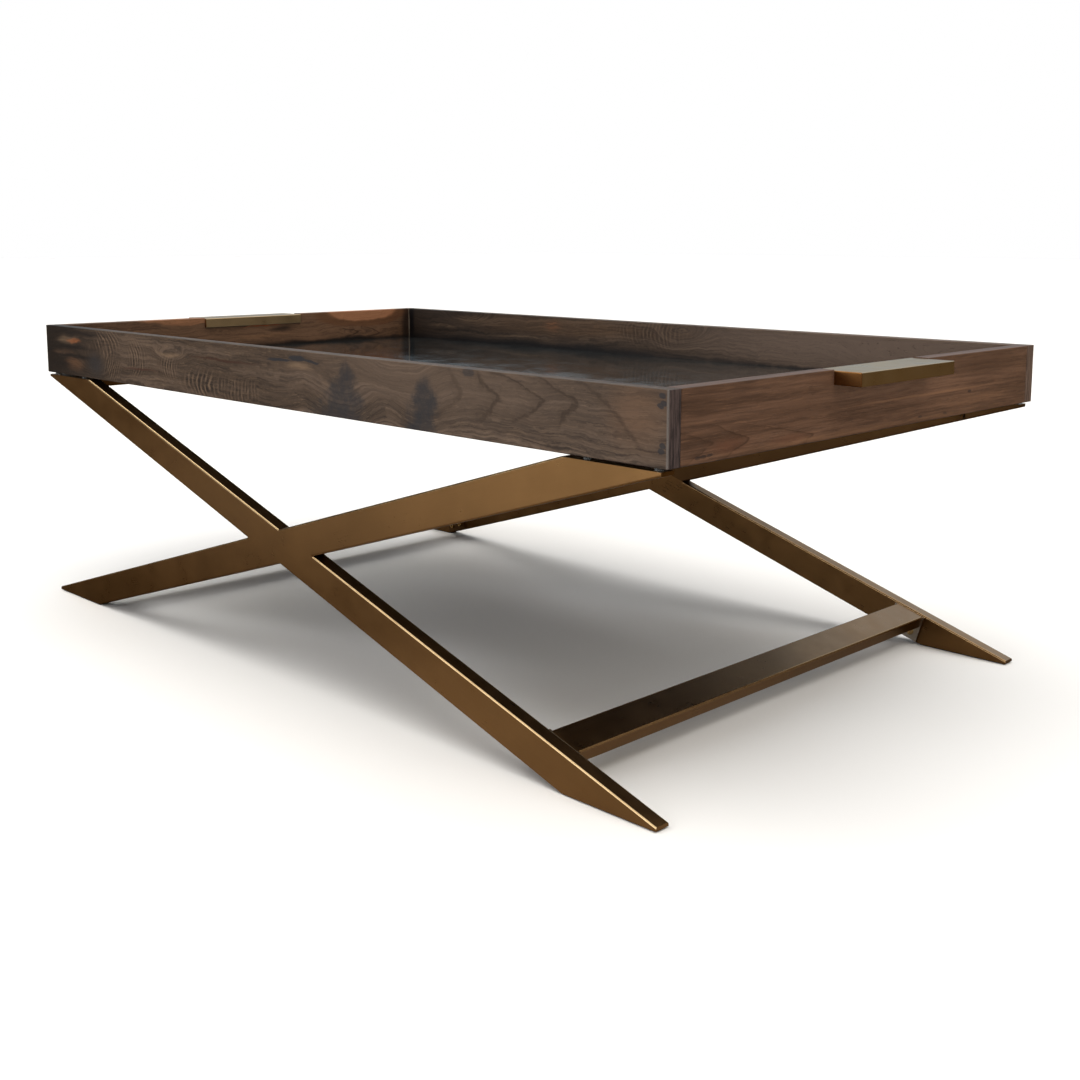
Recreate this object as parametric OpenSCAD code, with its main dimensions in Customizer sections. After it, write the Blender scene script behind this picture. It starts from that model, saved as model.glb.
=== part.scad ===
// Tray-top coffee table: a lift-off walnut tray with two brass handles on a crossed-leg tube frame.
// Millimetres. X runs along the long side, Y across, Z up. The origin is on the floor at the centre.

/* [Tray] */
// Outside length of the tray
tray_len = 1200; // [900:10:1400]
// Outside width of the tray
tray_wid = 700; // [500:10:800]
// Height of the tray's side boards
tray_h = 70; // [50:1:90]
// Thickness of the side and end boards
board_t = 18; // [16:1:22]
// Thickness of the base panel
panel_t = 5; // [4:0.5:8]
// Height of the base panel above the bottom of the boards
panel_up = 11; // [6:0.5:16]
// Depth of the groove that the base panel's edge sits in
groove_d = 9; // [6:0.5:12]
// Thickness of the smoked glass laid in the tray
glass_t = 3; // [3:0.5:6]
// Rounding on the board edges
board_edge_r = 1; // [0.5:0.1:2]

/* [Corner dowels] */
// Diameter of a corner dowel
dowel_d = 8; // [6:1:10]
// Length of a corner dowel in each of the two boards
dowel_in = 10; // [8:1:12]
// Heights of the two dowels above the bottom of the boards
dowel_heights = [26, 52]; // [15:1:60]

/* [Handles] */
// Length of a handle
handle_len = 185; // [150:1:260]
// How far a handle stands out of the end board
handle_out = 31.5; // [25:0.5:40]
// Height of a handle's front, the same as its inner lip
handle_h = 14.5; // [12:0.5:20]
// Thickness of the handle plate
handle_t = 3; // [2:0.5:4]
// How far the handle's top lies below the rim
handle_drop = 1; // [0:0.1:2]
// Distance between a handle's two screws
handle_screw_gap = 120; // [80:1:150]
// Diameter of a handle screw
handle_screw_d = 4; // [3:0.5:5]

/* [Frame] */
// Height of the frame from the floor to the top of its legs
frame_h = 332; // [280:1:400]
// Distance from the centre to a leg's tip, along X
leg_reach = 593; // [480:1:650]
// Height of the blunt end at a leg's tip
leg_tip = 4; // [3:0.5:8]
// Width of a leg's broad face
leg_w = 40; // [30:1:50]
// Thickness of a leg, along Y
leg_t = 18; // [15:1:25]
// Wall of the leg, stretcher and rail tubes
tube_wall = 2; // [1.5:0.5:3]
// Outside rounding of the tubes
tube_r = 2; // [1:0.5:2]
// Thickness of the pads under the feet
pad_t = 1.5; // [1:0.5:3]

/* [Stretchers and rails] */
// Broad face of the lower stretchers and the top rails
cross_w = 40; // [30:1:50]
// Thickness of a lower stretcher
stretcher_t = 16; // [12:1:20]
// Distance from the centre to the middle of a stretcher, measured along the leg
stretcher_at = 474; // [380:1:500]
// How far a stretcher's top lies below the leg's upper face
stretcher_drop = 1.75; // [1:0.25:4]
// Thickness of a top rail
rail_t = 13; // [10:1:16]
// Distance from the centre to the middle of a top rail, along X
rail_at = 508; // [440:1:530]

/* [End plates and screws] */
// Thickness of the end plates
plate_t = 3; // [2:0.5:4]
// Length of a stretcher plate along the leg
plate_len = 44; // [40:1:60]
// Width of a rail plate
rail_plate_w = 28; // [24:1:36]
// Distance from an end plate's edge to the leg's edge
plate_inset = 2; // [1:0.5:4]
// Diameter of the frame screws
screw_d = 5; // [4:0.5:6]
// Distance between a stretcher plate's two screws
screw_gap = 21; // [18:1:26]

/* [Bumpers] */
// Diameter of a clear bumper at its base
bumper_d = 10; // [8:1:14]
// Height of a clear bumper
bumper_h = 3; // [2:0.5:4]

/* [Hidden] */

walnut = "#5a4638";
red_walnut = "#66483a";
panel_brown = "#4b3a2e";
smoked_glass = "#3a3c3c";
satin_brass = "#a8905c";
bronze = "#7a5c38";
plate_grey = "#8c8678";
screw_brass = "#c8a660";
pad_black = "#151515";
bumper_clear = "#dfe6e6";
dowel_beech = "#c9a878";

round_fn = 48;                                   // segments of round edges and holes
slack = 0.25;                                    // clearance round pieces laid in a recess
past = 1;                                        // how far a cutter runs past a face

tray_z = frame_h + bumper_h;                     // underside of the tray
rim_z = tray_z + tray_h;
half_len = tray_len / 2;
half_wid = tray_wid / 2;
inside_half_len = half_len - board_t;
inside_half_wid = half_wid - board_t;
panel_z = tray_z + panel_up;                     // underside of the base panel
glass_z = panel_z + panel_t;
handle_top = rim_z - handle_drop;
handle_x = half_len + handle_out;                // outer face of a handle
lip_x = inside_half_len - handle_t;              // face of a handle's inner lip
handle_screw_z = handle_top - handle_h / 2 - 1;
handle_lip_solid = 1;                            // lip left whole in front of a handle screw
handle_head_h = 2;
handle_head_d = 7.5;

leg_mid_z = (frame_h + pad_t) / 2;               // height of the crossing
tip_edge_z = frame_h - leg_tip - leg_mid_z;      // lower edge of an upper tip, above the crossing
leg_angle = atan2(tip_edge_z, leg_reach) + asin(leg_w / 2 / norm([leg_reach, tip_edge_z]));
leg_y = half_wid - leg_t / 2;                    // middle of a leg, along Y
leg_in_y = half_wid - leg_t;                     // inner face of a leg
leg_long = 3 * leg_reach;                        // longer than any leg, before it is cut
fill_len = leg_w / sin(2 * leg_angle);           // length of a half leg's footprint on the other leg
fill_at = leg_w / 2 / tan(leg_angle) - fill_len / 2;
foot_in_x = (leg_mid_z - pad_t - leg_w / 2 / cos(leg_angle)) / tan(leg_angle);
pad_inset = 2;
plate_in_y = leg_in_y - plate_t;                 // inner face of an end plate
stretcher_z = leg_w / 2 - stretcher_drop - stretcher_t / 2;  // middle, across the leg's face
plate_low = -leg_w / 2 + plate_inset;            // lower edge of a stretcher plate, across the face
plate_high = leg_w / 2 - stretcher_drop;
screw_across = (plate_low + stretcher_z - stretcher_t / 2) / 2;
screw_head_d = 8.5;
screw_head_h = 2.5;
screw_long = 9;                                  // length under the head
socket_d = 3;
socket_deep = 1.5;
rail_z = frame_h - rail_t / 2;
rail_screw_drop = 5;                             // from the underside of a rail to its screws
rail_screw_gap = 14;
bumper_xs = [leg_reach - 9, rail_at - 10];
bumper_top_d = bumper_d - 3;

// ---- shared shapes ----

// A rectangle with true round corners, centred
module rounded_rect(w, h, r) {
  square([w - 2 * r, h], center = true);
  square([w, h - 2 * r], center = true);
  for (x = [-1, 1], y = [-1, 1])
    translate([x * (w / 2 - r), y * (h / 2 - r)]) circle(r, $fn = round_fn);
}

// A block with all its edges rounded, centred
module eased_block(size, r) {
  intersection() {
    rotate([90, 0, 90]) linear_extrude(size[0], center = true) rounded_rect(size[1], size[2], r);
    rotate([90, 0, 0]) linear_extrude(size[1], center = true) rounded_rect(size[0], size[2], r);
    linear_extrude(size[2], center = true) rounded_rect(size[0], size[1], r);
  }
}

// A block between two opposite corners
module block(low, high) {
  translate(low) cube(high - low);
}

// A tube along X, with w across Y and h across Z
module tube(long, w, h) {
  rotate([90, 0, 90]) linear_extrude(long, center = true) difference() {
    rounded_rect(w, h, tube_r);
    square([w - 2 * tube_wall, h - 2 * tube_wall], center = true);
  }
}

// A round rod along Y, from y1 to y2
module rod_y(x, z, d, y1, y2) {
  translate([x, y1, z]) rotate([-90, 0, 0]) cylinder(h = y2 - y1, d = d, $fn = round_fn);
}

// ---- tray ----

// Room for the base panel, which cuts the groove in the boards
module panel_room() {
  x = inside_half_len + groove_d;
  y = inside_half_wid + groove_d;
  block([-x, -y, panel_z], [x, y, glass_z]);
}

// The holes for the corner dowels, which the dowels fill
module dowel_set() {
  for (sx = [-1, 1], sy = [-1, 1], h = dowel_heights)
    rod_y(sx * (half_len - board_t / 2), tray_z + h, dowel_d,
          sy * inside_half_wid - dowel_in, sy * inside_half_wid + dowel_in);
}

module long_board(side) {
  difference() {
    translate([0, side * (half_wid - board_t / 2), tray_z + tray_h / 2])
      eased_block([tray_len, board_t, tray_h], board_edge_r);
    panel_room();
    dowel_set();
  }
}

module end_board(side) {
  difference() {
    translate([side * (half_len - board_t / 2), 0, tray_z + tray_h / 2])
      eased_block([board_t, 2 * inside_half_wid, tray_h], board_edge_r);
    panel_room();
    dowel_set();
    translate([side * half_len, 0, handle_top + past])
      cube([3 * board_t, handle_len, 2 * (handle_t + past)], center = true);
    handle_screw_shanks(side, handle_screw_d + 2 * slack);
  }
}

module front_board() { color(walnut) long_board(-1); }

module back_board() { color(walnut) long_board(1); }

module left_end_board() { color(red_walnut) end_board(-1); }

module right_end_board() { color(red_walnut) end_board(1); }

module base_panel() {
  x = inside_half_len + groove_d - slack;
  y = inside_half_wid + groove_d - slack;
  color(panel_brown) block([-x, -y, panel_z], [x, y, glass_z]);
}

module glass_inlay() {
  x = inside_half_len - slack;
  y = inside_half_wid - slack;
  color(smoked_glass) block([-x, -y, glass_z], [x, y, glass_z + glass_t]);
}

module corner_dowels() { color(dowel_beech) dowel_set(); }

// ---- handles ----

// The two shanks of a handle's screws, through the end board and into the inner lip
module handle_screw_shanks(side, d) {
  for (sy = [-1, 1])
    translate([side * (lip_x + handle_lip_solid), sy * handle_screw_gap / 2, handle_screw_z])
      rotate([0, side * 90, 0])
        cylinder(h = half_len - lip_x - handle_lip_solid, d = d, $fn = round_fn);
}

// A plate folded over the rim: lip inside, top plate, front and closed ends, open below
module handle(side) {
  low = handle_top - handle_h;
  difference() {
    translate([side * (lip_x + handle_x) / 2, 0, handle_top - handle_h / 2])
      eased_block([handle_x - lip_x, handle_len, handle_h], board_edge_r);
    translate([side * (half_len - board_t / 2), 0, low - handle_t])
      cube([board_t, handle_len + 2 * past, 2 * handle_h], center = true);
    translate([side * (half_len + handle_out / 2 - handle_t / 2), 0, low - handle_t])
      cube([handle_out - handle_t, handle_len - 2 * handle_t, 2 * handle_h], center = true);
    handle_screw_shanks(side, handle_screw_d);
  }
}

module left_handle() { color(satin_brass) handle(-1); }

module right_handle() { color(satin_brass) handle(1); }

module handle_screws() {
  color(screw_brass) for (side = [-1, 1]) {
    handle_screw_shanks(side, handle_screw_d);
    for (sy = [-1, 1])
      translate([side * half_len, sy * handle_screw_gap / 2, handle_screw_z])
        rotate([0, side * 90, 0]) difference() {
          cylinder(h = handle_head_h, d = handle_head_d, $fn = round_fn);
          translate([0, 0, handle_head_h - socket_deep / 2])
            cylinder(h = socket_deep, d = socket_d, $fn = 6);
        }
  }
}

// ---- legs ----

// Local X runs along a leg and local Z across its broad face. rise is 1 for a leg that
// climbs towards +X and -1 for one that climbs towards -X.
module on_leg(rise) {
  translate([0, 0, leg_mid_z]) rotate([0, -rise * leg_angle, 0]) children();
}

// The space between the flat tops of the feet pads and the frame's top
module frame_slab(inset) {
  block([-leg_reach + inset, -half_wid - past, pad_t + inset],
        [leg_reach - inset, half_wid + past, frame_h - inset]);
}

module leg_stock(rise, side) {
  translate([0, side * leg_y, 0]) on_leg(rise) tube(leg_long, leg_t, leg_w);
}

// The hollow inside a leg
module leg_core(rise, side) {
  translate([0, side * leg_y, 0]) on_leg(rise)
    cube([leg_long, leg_t - 2 * tube_wall, leg_w - 2 * tube_wall], center = true);
}

// The leg that runs through the crossing, with its edges filled square at the welds
module through_leg(side) {
  difference() {
    intersection() {
      union() {
        leg_stock(-1, side);
        translate([0, side * leg_y, 0]) on_leg(-1) for (s = [-1, 1])
          translate([s * fill_at, 0, s * (leg_w - tube_wall) / 2])
            cube([fill_len, leg_t, tube_wall], center = true);
      }
      frame_slab(0);
    }
    screw_cuts();
  }
}

// Half of the other leg, cut to meet the through leg's side. up is 1 above it and -1 below.
module half_leg(side, up) {
  difference() {
    intersection() {
      leg_stock(1, side);
      frame_slab(0);
      translate([0, side * leg_y, 0]) on_leg(-1) translate([0, 0, up * (leg_w + leg_long) / 2])
        cube([3 * leg_long, leg_t + past, leg_long], center = true);
    }
    screw_cuts();
  }
}

module front_through_leg() { color(bronze) through_leg(-1); }

module back_through_leg() { color(bronze) through_leg(1); }

module front_upper_half_leg() { color(bronze) half_leg(-1, 1); }

module back_upper_half_leg() { color(bronze) half_leg(1, 1); }

module front_lower_half_leg() { color(bronze) half_leg(-1, -1); }

module back_lower_half_leg() { color(bronze) half_leg(1, -1); }

// The plates that close the cut ends of the tubes
module end_caps(low, high) {
  color(bronze) for (side = [-1, 1], rise = [-1, 1]) difference() {
    intersection() {
      leg_core(rise, side);
      frame_slab(0);
      block([-leg_long, -leg_long, low], [leg_long, leg_long, high]);
    }
    frame_slab(tube_wall);
  }
}

module leg_top_caps() { end_caps(leg_mid_z, frame_h); }

module leg_foot_caps() { end_caps(pad_t, leg_mid_z); }

module foot_pads() {
  color(pad_black) for (sx = [-1, 1], sy = [-1, 1])
    translate([sx * (foot_in_x + leg_reach) / 2, sy * leg_y, 0])
      linear_extrude(pad_t)
        rounded_rect(leg_reach - foot_in_x - 2 * pad_inset, leg_t - 2 * pad_inset, pad_inset);
}

module clear_bumpers() {
  color(bumper_clear) for (sx = [-1, 1], sy = [-1, 1], x = bumper_xs)
    translate([sx * x, sy * leg_y, frame_h])
      cylinder(h = bumper_h, d1 = bumper_d, d2 = bumper_top_d, $fn = round_fn);
}

// ---- stretchers, rails, end plates ----

// side is 1 for the stretcher at +X. It lies at the slope of the leg that it is fixed to.
module stretcher(side) {
  color(bronze) on_leg(-side) translate([side * stretcher_at, 0, stretcher_z])
    rotate([0, 0, 90]) tube(2 * plate_in_y, cross_w, stretcher_t);
}

module left_stretcher() { stretcher(-1); }

module right_stretcher() { stretcher(1); }

module top_rail(side) {
  color(bronze) translate([side * rail_at, 0, rail_z])
    rotate([0, 0, 90]) tube(2 * plate_in_y, cross_w, rail_t);
}

module left_top_rail() { top_rail(-1); }

module right_top_rail() { top_rail(1); }

// sx and sy are the signs of the corner that a plate is at
module stretcher_plate(sx, sy) {
  color(plate_grey) difference() {
    on_leg(-sx) translate([sx * stretcher_at - plate_len / 2, min(sy * plate_in_y, sy * leg_in_y),
                           plate_low])
      cube([plate_len, plate_t, plate_high - plate_low]);
    screw_cuts();
  }
}

module stretcher_plate_front_left() { stretcher_plate(-1, -1); }

module stretcher_plate_front_right() { stretcher_plate(1, -1); }

module stretcher_plate_back_left() { stretcher_plate(-1, 1); }

module stretcher_plate_back_right() { stretcher_plate(1, 1); }

module rail_plate(sx, sy) {
  y1 = min(sy * plate_in_y, sy * leg_in_y);
  x1 = sx * rail_at - rail_plate_w / 2;
  color(plate_grey) difference() {
    intersection() {
      block([x1, y1, leg_mid_z], [x1 + rail_plate_w, y1 + plate_t, frame_h - plate_inset]);
      on_leg(sx) cube([leg_long, tray_wid, leg_w - 2 * plate_inset], center = true);
    }
    screw_cuts();
  }
}

module rail_plate_front_left() { rail_plate(-1, -1); }

module rail_plate_front_right() { rail_plate(1, -1); }

module rail_plate_back_left() { rail_plate(-1, 1); }

module rail_plate_back_right() { rail_plate(1, 1); }

// ---- frame screws ----

// Children face the leg from the inside: their +Z points into the leg at side sy
module facing_leg(sy) {
  translate([0, sy * plate_in_y, 0]) rotate([-sy * 90, 0, 0]) children();
}

module at_stretcher_screws() {
  for (sx = [-1, 1], sy = [-1, 1], s = [-1, 1]) on_leg(-sx)
    translate([sx * stretcher_at + s * screw_gap / 2, 0, screw_across]) facing_leg(sy) children();
}

module at_rail_screws() {
  for (sx = [-1, 1], sy = [-1, 1], s = [-1, 1])
    translate([sx * rail_at + s * rail_screw_gap / 2, 0, frame_h - rail_t - rail_screw_drop])
      facing_leg(sy) children();
}

module screw() {
  cylinder(h = screw_long, d = screw_d, $fn = round_fn);
  difference() {
    translate([0, 0, -screw_head_h]) cylinder(h = screw_head_h, d = screw_head_d, $fn = round_fn);
    translate([0, 0, -screw_head_h - socket_deep / 2])
      cylinder(h = 2 * socket_deep, d = socket_d, $fn = 6);
  }
}

// The holes that the frame screws fill
module screw_cuts() {
  at_stretcher_screws() cylinder(h = screw_long, d = screw_d, $fn = round_fn);
  at_rail_screws() cylinder(h = screw_long, d = screw_d, $fn = round_fn);
}

module stretcher_screws() { color(screw_brass) at_stretcher_screws() screw(); }

module rail_screws() { color(screw_brass) at_rail_screws() screw(); }

front_board();
back_board();
left_end_board();
right_end_board();
base_panel();
glass_inlay();
corner_dowels();
left_handle();
right_handle();
handle_screws();
front_through_leg();
front_upper_half_leg();
front_lower_half_leg();
back_through_leg();
back_upper_half_leg();
back_lower_half_leg();
leg_top_caps();
leg_foot_caps();
foot_pads();
clear_bumpers();
left_stretcher();
right_stretcher();
stretcher_plate_front_left();
stretcher_plate_front_right();
stretcher_plate_back_left();
stretcher_plate_back_right();
stretcher_screws();
left_top_rail();
right_top_rail();
rail_plate_front_left();
rail_plate_front_right();
rail_plate_back_left();
rail_plate_back_right();
rail_screws();
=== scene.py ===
"""Tray-top coffee table: a loose walnut tray on a crossed-leg frame of bronze tube.

Metres, in the CAD frame: X along the tray's long side, Y towards the back, Z up, floor at Z = 0.
Every visible surface is a CAD node with a procedural material. Colours are linear.
"""
import math

import bpy
from mathutils import Matrix, Vector


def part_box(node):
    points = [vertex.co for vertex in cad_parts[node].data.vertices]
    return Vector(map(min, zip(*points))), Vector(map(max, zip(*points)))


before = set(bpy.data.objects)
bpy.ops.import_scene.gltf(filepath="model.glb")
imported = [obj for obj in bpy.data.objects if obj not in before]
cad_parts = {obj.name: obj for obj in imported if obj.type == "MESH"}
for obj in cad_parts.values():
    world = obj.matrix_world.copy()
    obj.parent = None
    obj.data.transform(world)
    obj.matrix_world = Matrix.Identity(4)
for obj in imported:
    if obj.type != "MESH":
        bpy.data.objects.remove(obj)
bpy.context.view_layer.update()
scene = bpy.context.scene

# ---------------------------------------------------------------- places read from the CAD model

front_low, front_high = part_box("front_board")
TRAY_X = front_high.x                     # outer face of the end boards
TRAY_Y = -front_low.y                     # outer face of the long boards
TRAY_Z = front_low.z                      # underside of the boards
BOARD_T = front_high.y - front_low.y
FRONT = -TRAY_Y                           # outer face of the front board
INNER_BACK = TRAY_Y - BOARD_T             # inner face of the back board
INNER_LEFT = -TRAY_X + BOARD_T            # inner face of the left end board
HANDLE_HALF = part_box("right_handle")[1].y
LEG_ANGLE = math.radians(17.15)           # slope of the legs


# ---------------------------------------------------------------- node helpers

class Graph:
    """A material's node tree, built by short calls."""

    def __init__(self, name):
        self.material = bpy.data.materials.new(name)
        self.material.use_nodes = True
        self.tree = self.material.node_tree
        self.tree.nodes.clear()
        self.output = self.tree.nodes.new("ShaderNodeOutputMaterial")
        coordinates = self.add("ShaderNodeTexCoord")
        self.place = coordinates.outputs["Object"]
        self.facing = coordinates.outputs["Normal"]

    def add(self, kind, inputs=None, **settings):
        node = self.tree.nodes.new(kind)
        for key, value in settings.items():
            setattr(node, key, value)
        for key, value in (inputs or {}).items():
            self.feed(node.inputs[key], value)
        return node

    def feed(self, socket, value):
        if isinstance(value, bpy.types.NodeSocket):
            self.tree.links.new(value, socket)
        elif isinstance(value, (tuple, list)) and len(value) == 3 and socket.type == "RGBA":
            socket.default_value = (*value, 1.0)
        else:
            socket.default_value = value

    def math(self, operation, a, b=0.0, c=0.0):
        return self.add("ShaderNodeMath", {0: a, 1: b, 2: c}, operation=operation).outputs[0]

    def times(self, a, b):
        return self.math("MULTIPLY", a, b)

    def vector(self, operation, a, b):
        node = self.add("ShaderNodeVectorMath", {0: a, 1: b}, operation=operation)
        return node.outputs["Value" if operation == "LENGTH" else "Vector"]

    def axes(self, vector=None):
        node = self.add("ShaderNodeSeparateXYZ", {0: vector or self.place})
        return node.outputs[0], node.outputs[1], node.outputs[2]

    def join(self, x, y, z):
        return self.add("ShaderNodeCombineXYZ", {0: x, 1: y, 2: z}).outputs[0]

    def turned(self, vector, angle):
        """A vector's three parts, in axes turned about Y by angle."""
        x, y, z = self.axes(vector)
        c, s = math.cos(angle), math.sin(angle)
        return (self.math("ADD", self.times(x, c), self.times(z, s)), y,
                self.math("SUBTRACT", self.times(z, c), self.times(x, s)))

    def noise(self, vector, scale=1.0, detail=3.0, roughness=0.5, distortion=0.0):
        return self.add("ShaderNodeTexNoise", {
            "Vector": vector, "Scale": scale, "Detail": detail,
            "Roughness": roughness, "Distortion": distortion}).outputs[0]

    def span(self, value, low, high, out_low=0.0, out_high=1.0, smooth=True):
        """Maps low..high to out_low..out_high, and holds the end values outside that."""
        node = self.add("ShaderNodeMapRange", {
            0: value, 1: low, 2: high, 3: out_low, 4: out_high},
            interpolation_type="SMOOTHSTEP" if smooth else "LINEAR")
        return node.outputs[0]

    def mix(self, factor, a, b, blend="MIX"):
        node = self.add("ShaderNodeMix", {0: factor, 6: a, 7: b}, data_type="RGBA", blend_type=blend)
        return node.outputs[2]

    def wander(self, scale, reach, seed):
        """A smooth random offset, up to about half of reach each way."""
        place = self.vector("ADD", self.place, (seed, seed, seed))
        cloud = self.add("ShaderNodeTexNoise", {"Vector": place, "Scale": scale, "Detail": 2.0})
        centred = self.vector("SUBTRACT", cloud.outputs["Color"], (0.5, 0.5, 0.5))
        return self.vector("MULTIPLY", centred, (reach, reach, reach))

    def hill(self, vector, centre, size):
        """1 at the centre, falling smoothly to 0 on an ellipsoid of half-axes size."""
        offset = self.vector("SUBTRACT", vector, centre)
        scaled = self.vector("MULTIPLY", offset, tuple(1.0 / r for r in size))
        length = self.add("ShaderNodeVectorMath", {0: scaled}, operation="LENGTH").outputs["Value"]
        return self.span(length, 1.0, 0.15)

    def finish(self, **inputs):
        shader = self.add("ShaderNodeBsdfPrincipled", {
            key.replace("_", " "): value for key, value in inputs.items()})
        self.tree.links.new(shader.outputs[0], self.output.inputs["Surface"])
        return self.material

    def bump(self, height, strength, distance):
        return self.add("ShaderNodeBump", {
            "Height": height, "Strength": strength, "Distance": distance}).outputs[0]


# ---------------------------------------------------------------- wood

PALE = (0.106, 0.072, 0.051)
BROWN = (0.052, 0.034, 0.023)
DARK = (0.010, 0.007, 0.006)
SOOT = (0.008, 0.006, 0.006)
STAIN = (0.020, 0.020, 0.023)             # blue-grey mineral stain
BARK = (0.026, 0.016, 0.010)              # growth lines
SPLIT = (0.038, 0.016, 0.010)             # long dark streaks
LOW_SPLIT = (0.038, 0.014, 0.010)
UMBER = (0.085, 0.048, 0.028)
RED_UMBER = (0.085, 0.045, 0.028)
CHESTNUT = (0.090, 0.045, 0.022)
RUST = (0.130, 0.062, 0.030)
FOX = (0.120, 0.066, 0.037)
TAN = (0.130, 0.072, 0.038)
HONEY = (0.165, 0.108, 0.066)
SAND = (0.150, 0.104, 0.074)
GREY_SAND = (0.160, 0.112, 0.085)
CREST = (0.150, 0.098, 0.064)             # the light side of a curl
PEACH = (0.300, 0.170, 0.105)
DULL_PEACH = (0.260, 0.150, 0.090)
EMBER = (0.280, 0.085, 0.024)
JOINT_HIGHLIGHT = (0.300, 0.240, 0.180)              # a highlight painted along the joint at the back left inner corner
NEAR_EDGE_HIGHLIGHT = (0.120, 0.104, 0.094)       # a highlight painted on the near corner's upright edge
UNDERSIDE = (0.008, 0.006, 0.005)         # shade painted on the boards' underside
FOOT = (0.004, 0.004, 0.005)              # shade painted along the foot of the walls, by the dark mirror

DEEP = 0.025                              # how far a feature reaches into its board


class Board:
    """Oiled figured walnut for one board: plain grain first, then each feature in its place.

    face is where the board's seen face lies, across the board. A place on it is (along, up), and a
    size is (half length, half height). A strength of 1 hides what is below it.
    """

    # noise to the metre along the grain and across it
    FIBRES = (11.0, 330.0)
    PORES = (45.0, 1200.0)
    BANDS = (2.2, 70.0)
    THREADS = (24.0, 900.0)

    def __init__(self, name, along, face, seed, rings=(), pitch=0.006, shaky=1.0, lines=0.50, grain=0.62):
        """rings are hills in the growth rings, each with a place, a size and a height."""
        g = self.g = Graph(name)
        self.along_x = along == "x"
        self.face = face
        shake = g.vector("ADD", g.wander(20.0, 0.010 * shaky, seed),
                         g.wander(95.0, 0.0030 * shaky, seed + 3.0))
        self.point = g.vector("ADD", g.place, shake)
        x, y, z = g.axes(self.point)
        self.u, self.w, self.z = (x, y, z) if self.along_x else (y, x, z)
        slow = g.noise(g.join(g.times(self.u, 3.0), seed, g.times(z, 9.0)), 1.0, 3.0)
        self.level = g.math("MULTIPLY_ADD", slow, 0.045 * shaky, z)
        for place, size, rise in rings:
            self.level = g.math("MULTIPLY_ADD", self.hill(place, size), rise, self.level)
        self.fibre = self.strands(self.FIBRES, seed)
        self.pore = g.span(self.strands(self.PORES, seed + 1.0), 0.57, 0.70)
        self.colour = self.grain(seed, pitch, lines, grain)

    def grain(self, seed, pitch, lines, grain):
        """Broad bands of two browns, with dark fibres, light threads and dark growth lines."""
        g = self.g
        band = self.strands(self.BANDS, seed + 2.0)
        line = g.math("POWER", g.math("FRACT", g.math("DIVIDE", self.level, pitch)), 3.0)
        colour = g.mix(g.span(band, 0.36, 0.66), BROWN, PALE)
        colour = g.mix(g.times(g.span(self.fibre, 0.40, 0.66), grain), colour, DARK)
        thread = g.span(self.strands(self.THREADS, seed + 4.0), 0.52, 0.70)
        colour = g.mix(g.times(thread, 0.45), colour, HONEY)
        return g.mix(g.times(line, g.span(band, 0.3, 0.7, 0.3 * lines, lines)), colour, DARK)

    def strands(self, density, seed):
        """Noise drawn out along the grain."""
        g = self.g
        long, fine = density
        return g.noise(g.join(g.math("MULTIPLY_ADD", self.u, long, seed * 7.3), g.times(self.w, fine),
                              g.times(self.level, fine)), 1.0, 4.0, 0.62)

    def hill(self, place, size):
        """1 at a place on the face, falling smoothly to 0 at the edge of a patch."""
        (along, up), (long, high) = place, size
        if self.along_x:
            return self.g.hill(self.point, (along, self.face, up), (long, DEEP, high))
        return self.g.hill(self.point, (self.face, along, up), (DEEP, long, high))

    def tone(self, place, size, colour, strength, streaky=0.0, crisp=False):
        """Turns a patch of the wood towards another colour."""
        g = self.g
        patch = self.hill(place, size)
        if crisp:
            patch = g.span(patch, 0.02, 0.22)
        if streaky:
            patch = g.times(patch, g.span(self.fibre, 0.30, 0.62, 1.0, 1.0 - streaky))
        self.colour = g.mix(g.times(patch, strength), self.colour, colour)

    def stain(self, place, size, strength, fine=75.0):
        """A blue-grey mineral stain with a ragged edge."""
        g = self.g
        ragged = g.noise(g.place, fine, 4.0, 0.6)
        patch = g.span(g.math("MULTIPLY_ADD", ragged, 0.5, self.hill(place, size)), 0.42, 0.85)
        self.colour = g.mix(g.times(patch, strength), self.colour, STAIN)

    def wedge(self, top, height, top_half, foot_half, strength, lean):
        """A blue-grey stain with a ragged edge, narrow at the top and spreading downwards."""
        g = self.g
        along, up = top
        drop = g.math("DIVIDE", g.math("SUBTRACT", up, self.z), height)
        half = g.math("MULTIPLY_ADD", g.math("POWER", g.math("MAXIMUM", drop, 0.0), 0.8),
                      foot_half - top_half, top_half)
        middle = g.math("MULTIPLY_ADD", drop, lean, along)
        side = g.math("DIVIDE", g.math("ABSOLUTE", g.math("SUBTRACT", self.u, middle)), half)
        ragged = g.times(g.noise(g.place, 45.0, 6.0, 0.70), 2.2)
        patch = g.span(g.math("ADD", side, ragged), 2.25, 1.45)
        patch = g.times(patch, g.span(g.math("MULTIPLY_ADD", ragged, 0.20, drop), 0.12, 0.45))
        cloudy = g.span(g.noise(g.place, 110.0, 4.0, 0.6), 0.35, 0.65, 0.72, 1.0)
        self.colour = g.mix(g.times(g.times(patch, cloudy), strength), self.colour, STAIN)

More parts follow.
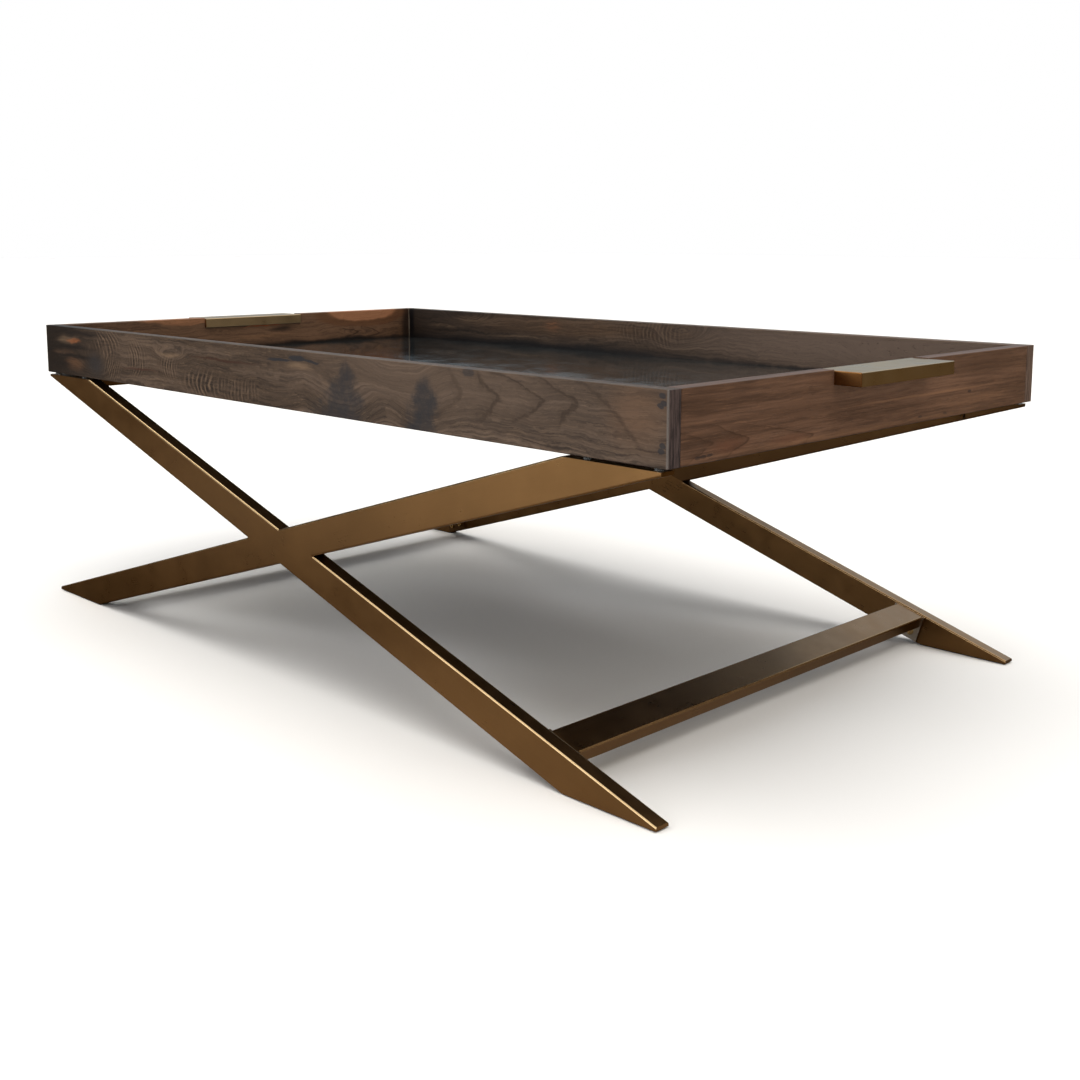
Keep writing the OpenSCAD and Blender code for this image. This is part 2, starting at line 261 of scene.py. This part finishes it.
    def nose(self, tip, up, down, limit, strength, width=0.0024):
        """One dark growth line folded to a point, which faces along the board.

        up and down say how fast its two arms fall back, and limit is how high and low they run."""
        g = self.g
        tip_along, tip_up = tip
        rise = g.math("SUBTRACT", self.z, tip_up)
        arm = g.math("SMOOTH_MAX", g.times(rise, up), g.times(rise, -down), 0.016)
        stray = g.math("MULTIPLY_ADD", g.noise(g.place, 42.0, 4.0, 0.6), 10.0 * width, -5.0 * width)
        gap = g.math("SUBTRACT", g.math("ADD", g.math("ADD", self.u, stray), arm), tip_along + 0.003)
        line = g.span(g.math("ABSOLUTE", gap), 2.2 * width, 0.3 * width)
        shade = g.times(g.times(g.span(gap, -0.022, 0.0), g.span(gap, 0.004, 0.0)), 0.45)
        fade = g.span(g.math("ABSOLUTE", rise), limit, 0.45 * limit)
        broken = g.span(g.noise(self.point, 90.0, 3.0), 0.25, 0.50, 0.45, 1.0)
        amount = g.times(g.times(g.math("MAXIMUM", line, shade), fade), broken)
        self.colour = g.mix(g.times(amount, strength), self.colour, BARK)

    def ripple(self, place, size, pitch, bend, lean, strength):
        """Curly figure: repeated light and dark arcs in a patch. bend is above 0 for arcs like a ")"."""
        g = self.g
        rise = g.math("SUBTRACT", self.z, place[1])
        across = g.math("MULTIPLY_ADD", rise, lean, self.u)
        arc = g.math("MULTIPLY_ADD", g.times(rise, rise), bend, across)
        arc = g.math("MULTIPLY_ADD", g.noise(g.place, 55.0, 4.0, 0.6), 1.1 * pitch, arc)
        wave = g.math("MULTIPLY_ADD", g.math("SINE", g.times(arc, 2.0 * math.pi / pitch)), 0.5, 0.5)
        broken = g.span(g.noise(self.point, 95.0, 4.0), 0.34, 0.58, 0.10, 1.0)
        patch = g.times(self.hill(place, size), broken)
        self.colour = g.mix(g.times(g.times(wave, patch), strength), self.colour, DARK)
        crest = g.times(g.span(wave, 0.45, 0.0), patch)
        self.colour = g.mix(g.times(crest, strength), self.colour, CREST)

    def end_grain(self, dark, pale):
        """The sawn ends of a long board, with the fibres seen end on."""
        g = self.g
        x, y, z = g.axes()
        cut = g.span(g.math("ABSOLUTE", x), TRAY_X - 0.0009, TRAY_X - 0.0005)
        ends = g.noise(g.join(x, g.times(y, 380.0), g.times(z, 28.0)), 1.0, 4.0, 0.7)
        self.colour = g.mix(cut, self.colour, g.mix(g.span(ends, 0.32, 0.68), dark, pale))

    def near_corner(self):
        """The near corner's upright edge, with a pale highlight painted on it."""
        edge = self.g.hill(self.g.place, (TRAY_X, FRONT, 0.370), (0.0024, 0.0024, 0.500))
        self.colour = self.g.mix(edge, self.colour, NEAR_EDGE_HIGHLIGHT)

    def finish(self, tint=(1.0, 1.0, 1.0), shine=0.20):
        g = self.g
        colour = g.mix(g.times(self.pore, 0.45), self.colour, DARK)
        colour = g.mix(1.0, colour, tint, "MULTIPLY")
        underside = g.span(g.axes()[2], TRAY_Z + 0.0008, TRAY_Z + 0.0004)
        relief = g.math("MULTIPLY_ADD", self.pore, -0.8, g.times(self.fibre, 0.5))
        return g.finish(
            Base_Color=g.mix(underside, colour, UNDERSIDE),
            Roughness=g.span(self.fibre, 0.2, 0.8, 0.36, 0.50, smooth=False),
            Specular_IOR_Level=shine,
            Normal=g.bump(relief, 0.30, 0.0003))


def dark_left_end(board):
    """The front board's left end, nearly black, with orange and brown streaks."""
    board.tone((-0.660, 0.370), (0.380, 0.300), DARK, 0.98)
    board.tone((0.300, 0.390), (0.400, 0.060), PALE, 0.50)
    board.tone((-0.350, 0.385), (0.120, 0.040), PALE, 0.40, streaky=0.5)
    board.tone((0.565, 0.380), (0.055, 0.045), FOX, 0.65, streaky=0.3)
    board.tone((-0.532, 0.386), (0.045, 0.008), HONEY, 0.70, streaky=0.6)
    board.tone((-0.513, 0.3855), (0.028, 0.0048), EMBER, 0.80, streaky=0.5)
    board.tone((-0.512, 0.352), (0.040, 0.013), RUST, 0.65, streaky=0.5)
    board.tone((-0.545, 0.368), (0.050, 0.006), UMBER, 0.60, streaky=0.6)
    for along, up, long in ((-0.520, 0.3765, 0.085), (-0.505, 0.3635, 0.090), (-0.490, 0.3975, 0.120),
                            (-0.545, 0.350, 0.045), (-0.590, 0.370, 0.014)):
        board.tone((along, up), (long, 0.0048), SOOT, 0.90, streaky=0.2)


def front_curls(board):
    """Curly figure on the left half of the front board: place, size, pitch, bend, lean, strength."""
    for curl in (((-0.412, 0.390), (0.052, 0.030), 0.0098, 22.0, 0.8, 0.80),
                 ((-0.400, 0.354), (0.034, 0.026), 0.0062, 8.0, -0.5, 0.75),
                 ((-0.328, 0.372), (0.032, 0.036), 0.0070, 18.0, 0.1, 0.80),
                 ((-0.244, 0.366), (0.036, 0.020), 0.0066, -30.0, 0.0, 0.75),
                 ((-0.160, 0.349), (0.070, 0.026), 0.0098, -34.0, 0.2, 0.72),
                 ((-0.078, 0.348), (0.060, 0.022), 0.0074, -16.0, 0.0, 0.60)):
        board.ripple(*curl)


def front_lines(board):
    """Folded growth lines on the front board's right half, and a few long streaks."""
    for tip, up, down, strength in (((0.382, 0.379), 1.3, 1.0, 0.65), ((0.446, 0.385), 3.2, 1.6, 0.65),
                                    ((0.489, 0.384), 2.4, 0.9, 0.65), ((0.541, 0.377), 0.8, -1.6, 0.50),
                                    ((0.330, 0.380), 1.0, 1.4, 0.35)):
        board.nose(tip, up, down, 0.034, strength, 0.0030)
    board.tone((-0.240, 0.383), (0.046, 0.0045), HONEY, 0.75, streaky=0.4)
    board.tone((0.050, 0.3875), (0.034, 0.006), HONEY, 0.80, streaky=0.4)
    board.tone((-0.115, 0.384), (0.110, 0.0026), SPLIT, 0.85)
    board.tone((-0.320, 0.358), (0.070, 0.0022), LOW_SPLIT, 0.80)
    board.tone((-0.448, 0.356), (0.036, 0.026), STAIN, 0.80, streaky=0.3)


def front_stains(board):
    """The front board's two wedge-shaped stains, and small ones near its middle and its right end."""
    for along, up, long, high in ((0.010, 0.3925, 0.040, 0.0028), (0.047, 0.3960, 0.024, 0.0052),
                                  (0.074, 0.3950, 0.026, 0.0026)):
        board.stain((along, up), (long, high), 0.95)
    board.wedge((0.140, 0.399), 0.062, 0.004, 0.056, 0.85, -0.010)
    board.wedge((0.276, 0.393), 0.056, 0.010, 0.034, 0.90, -0.006)
    board.stain((0.342, 0.402), (0.014, 0.007), 0.60)
    for place in ((0.5935, 0.400), (0.5955, 0.3935), (0.5920, 0.3905), (0.5950, 0.357), (0.5930, 0.352)):
        board.stain(place, (0.0055, 0.0040), 0.80, fine=260.0)


def front_board():
    board = Board("front_walnut", "x", FRONT, 1.7, rings=[
        ((0.225, 0.406), (0.085, 0.046), 0.030),
        ((0.272, 0.352), (0.070, 0.055), 0.018),
        ((0.136, 0.345), (0.080, 0.070), 0.018),
        ((-0.240, 0.382), (0.060, 0.015), 0.014),
        ((-0.450, 0.360), (0.060, 0.030), 0.020)])
    dark_left_end(board)
    front_curls(board)
    front_lines(board)
    front_stains(board)
    board.end_grain((0.012, 0.010, 0.011), (0.075, 0.052, 0.048))
    board.near_corner()
    return board.finish(shine=0.13)


def back_board():
    board = Board("back_walnut", "x", INNER_BACK, 8.3, rings=[
        ((-0.420, 0.398), (0.080, 0.022), 0.030),
        ((0.060, 0.390), (0.070, 0.028), 0.030),
        ((0.420, 0.372), (0.130, 0.030), 0.026)])
    board.tone((-0.660, 0.370), (0.700, 0.400), DARK, 0.70)
    board.tone((0.400, 0.392), (0.480, 0.060), GREY_SAND, 0.75)
    board.tone((-0.180, 0.390), (0.340, 0.026), TAN, 0.60, streaky=0.5)
    board.ripple((0.000, 0.388), (0.100, 0.030), 0.0078, -20.0, 0.0, 0.42)
    board.tone((-0.400, 0.392), (0.100, 0.010), HONEY, 0.50, streaky=0.9)
    board.tone((-0.480, 0.380), (0.060, 0.005), HONEY, 0.45, streaky=0.8)
    board.tone((-0.290, 0.368), (0.120, 0.003), HONEY, 0.50, streaky=0.6)
    board.tone((-0.210, 0.392), (0.030, 0.012), EMBER, 0.30, streaky=0.8)
    board.tone((-0.250, 0.353), (0.650, 0.016), FOOT, 0.97)
    board.tone((0.330, 0.353), (0.420, 0.008), FOOT, 0.80)
    board.tone((INNER_LEFT + 0.010, 0.385), (0.012, 0.060), FOOT, 0.90)
    # a highlight painted down the back left inner corner
    board.tone((INNER_LEFT, 0.385), (0.0035, 0.060), JOINT_HIGHLIGHT, 0.90)
    board.end_grain((0.052, 0.032, 0.025), (0.140, 0.094, 0.072))
    return board.finish(shine=0.15)


def right_board():
    """The right end board, redder and straighter in the grain than the others."""
    board = Board("right_walnut", "y", TRAY_X, 4.1, pitch=0.0030, shaky=0.25, lines=0.18, grain=0.40)
    board.tone((0.050, 0.375), (0.500, 0.060), SAND, 0.45, streaky=0.5)
    board.tone((-0.150, 0.372), (0.110, 0.016), BROWN, 0.60, streaky=0.5)
    board.tone((0.230, 0.392), (0.100, 0.020), BROWN, 0.70, streaky=0.5)
    board.tone((-0.262, 0.347), (0.040, 0.011), RED_UMBER, 0.70)
    board.tone((-0.165, 0.343), (0.050, 0.008), RED_UMBER, 0.55)
    board.nose((-0.2875, 0.352), 3.6, 2.6, 0.020, 0.60, 0.0016)
    board.nose((-0.235, 0.350), 3.0, 2.4, 0.024, 0.70, 0.0018)
    board.nose((-0.128, 0.344), 5.5, 2.0, 0.028, 0.60, 0.0018)
    for place in ((-0.308, 0.3405), (-0.300, 0.3410), (-0.291, 0.3412), (0.080, 0.341), (0.135, 0.340),
                  (0.190, 0.361)):
        board.stain(place, (0.0065, 0.0024), 0.75)
    board.tone((-0.080, 0.339), (0.380, 0.0040), HONEY, 0.60, streaky=0.6)
    board.tone((0.090, 0.365), (0.220, 0.0020), HONEY, 0.75)
    board.tone((0.200, 0.351), (0.120, 0.010), HONEY, 0.40, streaky=0.6)
    return board.finish(tint=(1.20, 0.92, 0.78))


def left_board():
    board = Board("left_walnut", "y", INNER_LEFT, 6.6, rings=[
        ((0.225, 0.412), (0.150, 0.036), 0.030),
        ((0.225, 0.366), (0.060, 0.012), 0.018)])
    board.tone((0.000, 0.385), (0.500, 0.060), SAND, 0.65, streaky=0.5)
    board.tone((0.225, 0.402), (0.125, 0.030), CHESTNUT, 0.70, streaky=0.3, crisp=True)
    board.tone((0.225, 0.405), (0.090, 0.0210), PEACH, 0.90, streaky=0.3, crisp=True)
    board.tone((-0.120, 0.410), (0.110, 0.018), DULL_PEACH, 0.75, streaky=0.3, crisp=True)
    board.nose((0.212, 0.366), 3.4, 3.4, 0.014, 0.90)
    board.nose((0.262, 0.366), 3.0, 3.0, 0.014, 0.80)
    board.tone((0.055, 0.3800), (0.034, 0.0065), DARK, 0.90, streaky=0.2)
    board.tone((0.020, 0.3885), (0.055, 0.0022), EMBER, 0.75, streaky=0.3)
    board.tone((0.020, 0.3700), (0.080, 0.0050), HONEY, 0.60, streaky=0.6)
    board.tone((0.326, 0.380), (0.016, 0.060), FOOT, 0.85, streaky=0.2)
    board.tone((0.150, 0.3545), (0.420, 0.0085), FOOT, 0.97)
    return board.finish(tint=(1.35, 1.08, 0.90))


# the plain woods: pale and dark tone, and noise to the metre on each axis for grain along x or y
VENEER = ((0.060, 0.044, 0.033), (0.034, 0.025, 0.019))
BEECH = ((0.550, 0.380, 0.230), (0.400, 0.260, 0.150))
PLAIN_GRAIN = {"x": (9.0, 160.0, 160.0), "y": (160.0, 9.0, 160.0)}


def plain_wood(name, pale, dark, along):
    g = Graph(name)
    streak = g.noise(g.join(*map(g.times, g.axes(), PLAIN_GRAIN[along])), 1.0, 5.0, 0.6)
    cloud = g.noise(g.place, 5.0, 3.0)
    colour = g.mix(g.span(streak, 0.3, 0.7), dark, pale)
    colour = g.mix(g.times(g.span(cloud, 0.35, 0.7), 0.35), colour, dark)
    return g.finish(Base_Color=colour, Roughness=0.6, Normal=g.bump(streak, 0.3, 0.0004))


# ---------------------------------------------------------------- metal, glass, rubber

BRONZE = (0.212, 0.117, 0.046)
SHADED_BRONZE = (0.118, 0.064, 0.026)     # for tubes and plates that the photograph shows in shade
FRONT_EDGE_HIGHLIGHT = (0.470, 0.340, 0.185)       # a highlight painted on the front legs' rounded upper edges
OTHER_EDGE_HIGHLIGHT = (0.340, 0.215, 0.105)     # a dimmer highlight painted on the other tubes' rounded upper edges
BRASS = (0.435, 0.322, 0.188)
SAWN_BRASS = (0.200, 0.095, 0.032)
SCREW_BRASS = (0.800, 0.600, 0.300)
NICKEL = (0.420, 0.370, 0.310)

# brushing: noise to the metre on each axis, far coarser along the brush strokes
BRUSHING = {"x": (25.0, 2600.0, 2600.0), "y": (2600.0, 25.0, 2600.0), "z": (2600.0, 2600.0, 25.0)}


def edge_highlight_mask(g, parts, along, smudge):
    """1 on a tube's rounded upper edges, where a highlight is painted, from the parts of its normal in the
    tube's own axes.
    """
    side = g.math("ABSOLUTE", parts[0 if along == "y" else 1])
    rounded = g.times(g.span(side, 0.04, 0.14), g.span(side, 0.998, 0.985))
    upper = g.times(rounded, g.span(parts[2], -0.05, 0.10))
    return g.times(upper, g.span(smudge, 0.25, 0.60, 0.65, 1.0))


def brushed(name, colour, slope=0.0, along="x", roughness=0.28, wear=0.08, scratch=0.10,
            ends=None, rim=None, edge_highlight=None):
    """Lacquered brushed metal. The brushing runs along an axis, turned about Y by slope.

    ends is (half length along Y, colour) for a piece whose sawn ends have their own colour.
    rim is the colour of a plate's thin edges, where its faces look along Y.
    The last argument, if given, is the colour of a highlight painted on a tube's rounded upper edges.
    """
    g = Graph(name)
    hair = g.noise(g.join(*map(g.times, g.turned(g.place, slope), BRUSHING[along])), 1.0, 3.0, 0.6)
    cloud = g.noise(g.place, 9.0, 4.0, 0.55)
    smudge = g.noise(g.place, 38.0, 3.0, 0.6)
    tone = g.math("ADD", g.times(cloud, 0.7), g.times(hair, 0.3))
    dim = tuple(v * (1.0 - wear) for v in colour)
    lit = tuple(v * (1.0 + wear) for v in colour)
    shown = g.mix(g.span(tone, 0.35, 0.65), dim, lit)
    rough = g.math("ADD", g.span(smudge, 0.3, 0.7, roughness - 0.03, roughness + 0.05),
                   g.times(hair, 0.05))
    if ends:
        half, sawn = ends
        cut = g.span(g.math("ABSOLUTE", g.axes()[1]), half - 0.0012, half - 0.0006)
        shown = g.mix(cut, shown, sawn)
    if rim:
        flat = g.span(g.math("ABSOLUTE", g.axes(g.facing)[1]), 0.5, 0.8)
        shown = g.mix(flat, rim, shown)
    if edge_highlight:
        # a highlight painted along the rounded upper edges
        highlight = edge_highlight_mask(g, g.turned(g.facing, slope), along, smudge)
        shown = g.mix(highlight, shown, edge_highlight)
        rough = g.math("MULTIPLY_ADD", highlight, -0.08, rough)
    return g.finish(
        Base_Color=shown,
        Metallic=1.0,
        Roughness=rough,
        Normal=g.bump(hair, scratch, 0.00004))


def smoked_mirror(name):
    """Dark mirror glass, faintly clouded and flecked like old silvering."""
    g = Graph(name)
    cloud = g.noise(g.place, 7.0, 6.0, 0.6, 0.4)
    mist = g.noise(g.place, 24.0, 5.0, 0.65)
    fleck = g.span(g.noise(g.place, 420.0, 2.0), 0.70, 0.78)
    colour = g.mix(g.span(cloud, 0.35, 0.7), (0.062, 0.078, 0.084), (0.120, 0.138, 0.140))
    return g.finish(
        Base_Color=g.mix(g.times(fleck, 0.5), colour, (0.030, 0.028, 0.025)),
        Metallic=g.span(mist, 0.30, 0.70, 0.90, 0.80),
        Roughness=g.span(mist, 0.35, 0.75, 0.07, 0.16),
        Coat_Weight=0.45,
        Coat_Roughness=0.02,
        Normal=g.bump(cloud, 0.05, 0.001))


def rubber(name):
    g = Graph(name)
    grit = g.noise(g.place, 900.0, 3.0)
    return g.finish(
        Base_Color=g.mix(grit, (0.010, 0.010, 0.010), (0.024, 0.023, 0.022)),
        Roughness=0.75,
        Normal=g.bump(grit, 0.4, 0.0002))


def clear_plastic(name):
    g = Graph(name)
    haze = g.noise(g.place, 300.0, 2.0)
    return g.finish(
        Base_Color=g.mix(haze, (0.80, 0.84, 0.84), (0.95, 0.97, 0.97)),
        Roughness=0.12,
        IOR=1.48,
        Transmission_Weight=0.85,
        Normal=g.bump(haze, 0.05, 0.0002))


# ---------------------------------------------------------------- the material of each node

RAIL_PLATES = [f"rail_plate_{row}_{side}" for row in ("front", "back") for side in ("left", "right")]


def set_material(material, *nodes):
    for name in nodes:
        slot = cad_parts[name].material_slots[0]
        slot.link = "OBJECT"
        slot.material = material


def finish_tray():
    set_material(front_board(), "front_board")
    set_material(back_board(), "back_board")
    set_material(right_board(), "right_end_board")
    set_material(left_board(), "left_end_board")
    set_material(brushed("satin_brass", BRASS, along="y", wear=0.05, scratch=0.06,
                         ends=(HANDLE_HALF, SAWN_BRASS)), "left_handle", "right_handle")
    set_material(smoked_mirror("smoked_mirror"), "glass_inlay")
    set_material(plain_wood("panel_veneer", *VENEER, "x"), "base_panel")
    set_material(plain_wood("dowel_beech", *BEECH, "y"), "corner_dowels")


def finish_frame():
    """The front legs' upper edges get a brighter painted highlight than the other tubes'."""
    for name, highlight, falling, rising in (
            ("bronze", FRONT_EDGE_HIGHLIGHT, "front_through_leg", ["front_upper_half_leg", "front_lower_half_leg"]),
            ("bronze_back", OTHER_EDGE_HIGHLIGHT, "back_through_leg", ["back_lower_half_leg"])):
        set_material(brushed(f"{name}_falling", BRONZE, -LEG_ANGLE, edge_highlight=highlight), falling)
        set_material(brushed(f"{name}_rising", BRONZE, LEG_ANGLE, edge_highlight=highlight), *rising)
    set_material(brushed("bronze_shaded", SHADED_BRONZE, LEG_ANGLE), "back_upper_half_leg")
    for name, slope in (("left_stretcher", LEG_ANGLE), ("right_stretcher", -LEG_ANGLE)):
        set_material(brushed(f"bronze_{name}", BRONZE, slope, "y", edge_highlight=OTHER_EDGE_HIGHLIGHT), name)
    set_material(brushed("bronze_across", BRONZE, along="y"),
                 "left_top_rail", "right_top_rail", "leg_top_caps", "leg_foot_caps")
    set_material(brushed("screw_brass", SCREW_BRASS, along="z", roughness=0.18),
                 "handle_screws", "stretcher_screws")
    set_material(brushed("plate_nickel", NICKEL, roughness=0.35, rim=BRONZE),
                 "stretcher_plate_front_right", "stretcher_plate_back_right")
    set_material(brushed("plate_bronze", SHADED_BRONZE, roughness=0.35),
                 "stretcher_plate_front_left", "stretcher_plate_back_left", "rail_screws", *RAIL_PLATES)
    set_material(rubber("black_pad"), "foot_pads")
    set_material(clear_plastic("clear_bumper"), "clear_bumpers")


finish_tray()
finish_frame()

# ---------------------------------------------------------------- camera, fitted to the photograph

CAMERA_AT = Vector((1.3274, -1.2323, 0.5350))
CAMERA_YAW = math.radians(45.16)
CAMERA_PITCH = math.radians(-8.16)
CAMERA_ROLL = math.radians(0.06)
camera_data = bpy.data.cameras.new("camera")
camera_data.sensor_width = 36.0
camera_data.lens = 44.40
camera_data.shift_x = 0.0024
camera_data.shift_y = -0.1035
camera = bpy.data.objects.new("camera", camera_data)
scene.collection.objects.link(camera)
turn = (Matrix.Rotation(CAMERA_YAW, 4, "Z") @ Matrix.Rotation(math.radians(90) + CAMERA_PITCH, 4, "X")
        @ Matrix.Rotation(CAMERA_ROLL, 4, "Z"))
camera.matrix_world = Matrix.Translation(CAMERA_AT) @ turn
scene.camera = camera

# ---------------------------------------------------------------- floor and light

scene.view_settings.view_transform = "Standard"

FLOOR_HALF = 30.0                         # the floor runs to the horizon
FLOOR_WHITE = (0.86, 0.86, 0.855)
ROOM_FLOOR = (0.085, 0.055, 0.020)        # the floor that reflections show
ROOM_FLOOR_Z = 0.0003                     # just above the painted floor
PAINTED_LIGHT_POOLS = [                             # pools of light painted on it: centre, reach, colour
    ((-0.55, -2.25, 0.0), 1.85, (0.98, 0.98, 0.98)),
    ((0.30, -0.15, 0.0), 0.75, (0.55, 0.50, 0.44)),
]
TOP_LIGHT = 2.9
TOP_LIGHT_SPREAD = math.radians(85)       # wide enough to leave only soft shadows
KEY_AT = Vector((-0.7, -2.5, 1.0))
KEY_AIM = Vector((-0.5, -1.2, 0.0))
KEY_SIZE = (1.6, 0.9)
KEY_POWER = 10.0
AMBIENT = (0.13, 0.10, 0.07)              # the dim warm room around the set

# soft lights far off: name, azimuth and elevation in degrees, radius in degrees from full to none, colour
SOFT_LIGHTS = [
    ("front_left", 250.0, 5.0, (8.0, 38.0), (2.00, 2.00, 2.05)),
    ("near_camera", 308.0, 12.0, (4.0, 16.0), (1.60, 1.60, 1.65)),
    ("right", 5.0, 42.0, (10.0, 52.0), (0.95, 0.89, 0.78)),
    ("back", 134.0, 10.0, (10.0, 42.0), (0.28, 0.38, 0.46)),
    ("window", 94.0, 27.0, (6.0, 22.0), (0.82, 0.98, 1.14)),
    ("edges", 195.0, 44.0, (5.0, 18.0), (3.00, 2.90, 2.60)),
]


def stage_plane(name, height, paint):
    corners = [(x * FLOOR_HALF, y * FLOOR_HALF, height) for x, y in ((-1, -1), (1, -1), (1, 1), (-1, 1))]
    mesh = bpy.data.meshes.new(name)
    mesh.from_pydata(corners, [], [(0, 1, 2, 3)])
    mesh.materials.append(paint)
    plane = bpy.data.objects.new(name, mesh)
    scene.collection.objects.link(plane)
    return plane


def floor_paint():
    g = Graph("floor_paint")
    shade = tuple(v * 0.99 for v in FLOOR_WHITE)
    return g.finish(
        Base_Color=g.mix(g.noise(g.place, 3.0), shade, FLOOR_WHITE), Roughness=0.9, Specular_IOR_Level=0.1)


def room_floor():
    g = Graph("room_floor")
    colour = ROOM_FLOOR
    # pools of light painted into the floor's colour
    for centre, reach, lit in PAINTED_LIGHT_POOLS:
        colour = g.mix(g.hill(g.place, centre, (reach, reach, reach)), colour, lit)
    return g.finish(Base_Color=colour, Roughness=0.9, Specular_IOR_Level=0.1)


def studio_floor():
    """A pale plain floor. Reflections show a dimmer floor instead, with pools of light painted on it."""
    painted = stage_plane("studio_floor", 0.0, floor_paint())
    painted.visible_glossy = False
    room = stage_plane("room_floor", ROOM_FLOOR_Z, room_floor())
    room.visible_camera = room.visible_diffuse = room.visible_transmission = room.visible_shadow = False


def direction(azimuth, elevation):
    a, e = math.radians(azimuth), math.radians(elevation)
    return (math.cos(a) * math.cos(e), math.sin(a) * math.cos(e), math.sin(e))


def soft_lights(tree):
    """The room's colour in every direction: the dim room, and each soft light added to it."""
    new, link = tree.nodes.new, tree.links.new
    way = new("ShaderNodeTexCoord").outputs["Generated"]
    total = None
    for name, azimuth, elevation, (full, none), colour in SOFT_LIGHTS:
        near = new("ShaderNodeVectorMath")
        near.name, near.operation = name, "DOT_PRODUCT"
        near.inputs[1].default_value = direction(azimuth, elevation)
        link(way, near.inputs[0])
        fade = new("ShaderNodeMapRange")
        fade.interpolation_type = "SMOOTHSTEP"
        fade.inputs[1].default_value = math.cos(math.radians(none))
        fade.inputs[2].default_value = math.cos(math.radians(full))
        link(near.outputs["Value"], fade.inputs[0])
        tinted = new("ShaderNodeVectorMath")
        tinted.operation = "MULTIPLY_ADD"
        tinted.inputs[1].default_value = colour
        link(fade.outputs[0], tinted.inputs[0])
        if total:
            link(total, tinted.inputs[2])
        else:
            tinted.inputs[2].default_value = AMBIENT
        total = tinted.outputs[0]
    return total


def studio_world():
    """White behind the object, and for its light a dim room with a few soft lights in it."""
    world = bpy.data.worlds.new("studio")
    scene.world = world
    world.use_nodes = True
    tree = world.node_tree
    new, link = tree.nodes.new, tree.links.new
    lit, seen = tree.nodes["Background"], new("ShaderNodeBackground")
    link(soft_lights(tree), lit.inputs["Color"])
    seen.inputs["Color"].default_value = (1.0, 1.0, 1.0, 1.0)
    choice = new("ShaderNodeMixShader")
    link(new("ShaderNodeLightPath").outputs["Is Camera Ray"], choice.inputs[0])
    link(lit.outputs[0], choice.inputs[1])
    link(seen.outputs[0], choice.inputs[2])
    link(choice.outputs[0], tree.nodes["World Output"].inputs["Surface"])


def top_light():
    sun = bpy.data.lights.new("top", "SUN")
    sun.energy = TOP_LIGHT
    sun.angle = TOP_LIGHT_SPREAD
    scene.collection.objects.link(bpy.data.objects.new("top", sun))


def key_light():
    """A softbox low at the front left, which lights the front faces and the floor before them."""
    light = bpy.data.lights.new("key", "AREA")
    light.shape = "RECTANGLE"
    light.size, light.size_y = KEY_SIZE
    light.energy = KEY_POWER
    softbox = bpy.data.objects.new("key", light)
    softbox.location = KEY_AT
    softbox.rotation_euler = (KEY_AIM - KEY_AT).to_track_quat("-Z", "Y").to_euler()
    softbox.visible_camera = False
    scene.collection.objects.link(softbox)


studio_floor()
studio_world()
top_light()
key_light()
